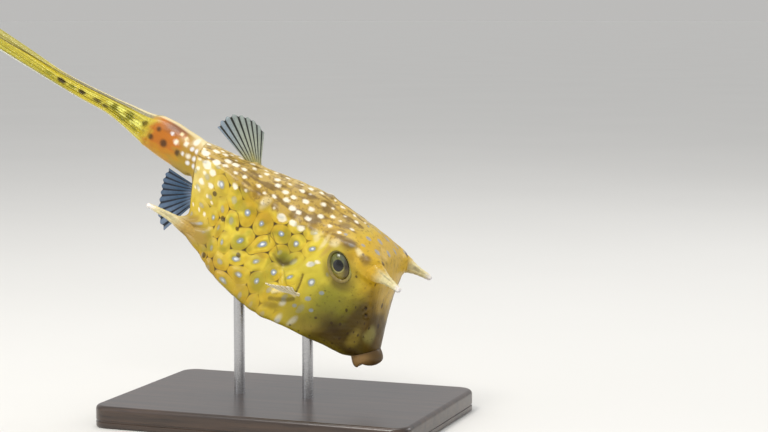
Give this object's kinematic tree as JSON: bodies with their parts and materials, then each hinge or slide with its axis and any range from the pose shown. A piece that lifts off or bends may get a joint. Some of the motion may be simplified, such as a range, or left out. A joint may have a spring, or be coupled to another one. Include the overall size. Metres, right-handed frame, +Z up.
{
  "type": "longhorn cowfish model on a display stand",
  "caption": "Life-size still model of a longhorn cowfish, nose down with its tail raised, held by rods above a flat base.",
  "frame": {"origin": "middle of the underside of the stand's base", "axes": "+X the way the fish faces, level; +Y the fish's left; +Z up"},
  "size_m": [0.2327, 0.1, 0.1801],
  "materials": {
    "carapace": "painted bony plates, yellow with brown seams and blue-white spots, satin with a wet sheen",
    "skin": "painted skin, orange-brown with dark and pale spots, satin",
    "fin": "thin translucent membrane over pale rays",
    "eye": "glossy, grey-green iris with a thin gold ring round a black pupil",
    "horn": "cream horn, paler at the tip, satin",
    "lip": "tan-brown skin, satin",
    "stand_base": "dark-stained hardwood, satin lacquer",
    "stand_rod": "fine brushed round bar"
  },
  "bodies": {
    "root": {"head": "carapace", "torso": "carapace", "tail_stem": "skin", "caudal_fin": "fin", "dorsal_fin": "fin", "anal_fin": "fin", "pectoral_fin_left": "fin", "pectoral_fin_right": "fin", "eye_left": "eye", "eye_right": "eye", "horn_front_left": "horn", "horn_front_right": "horn", "horn_rear_left": "horn", "horn_rear_right": "horn", "lip_upper": "lip", "lip_lower": "lip", "stand_base": "stand_base", "stand_rod_front": "stand_rod", "stand_rod_rear": "stand_rod"}
  },
  "joints": []
}
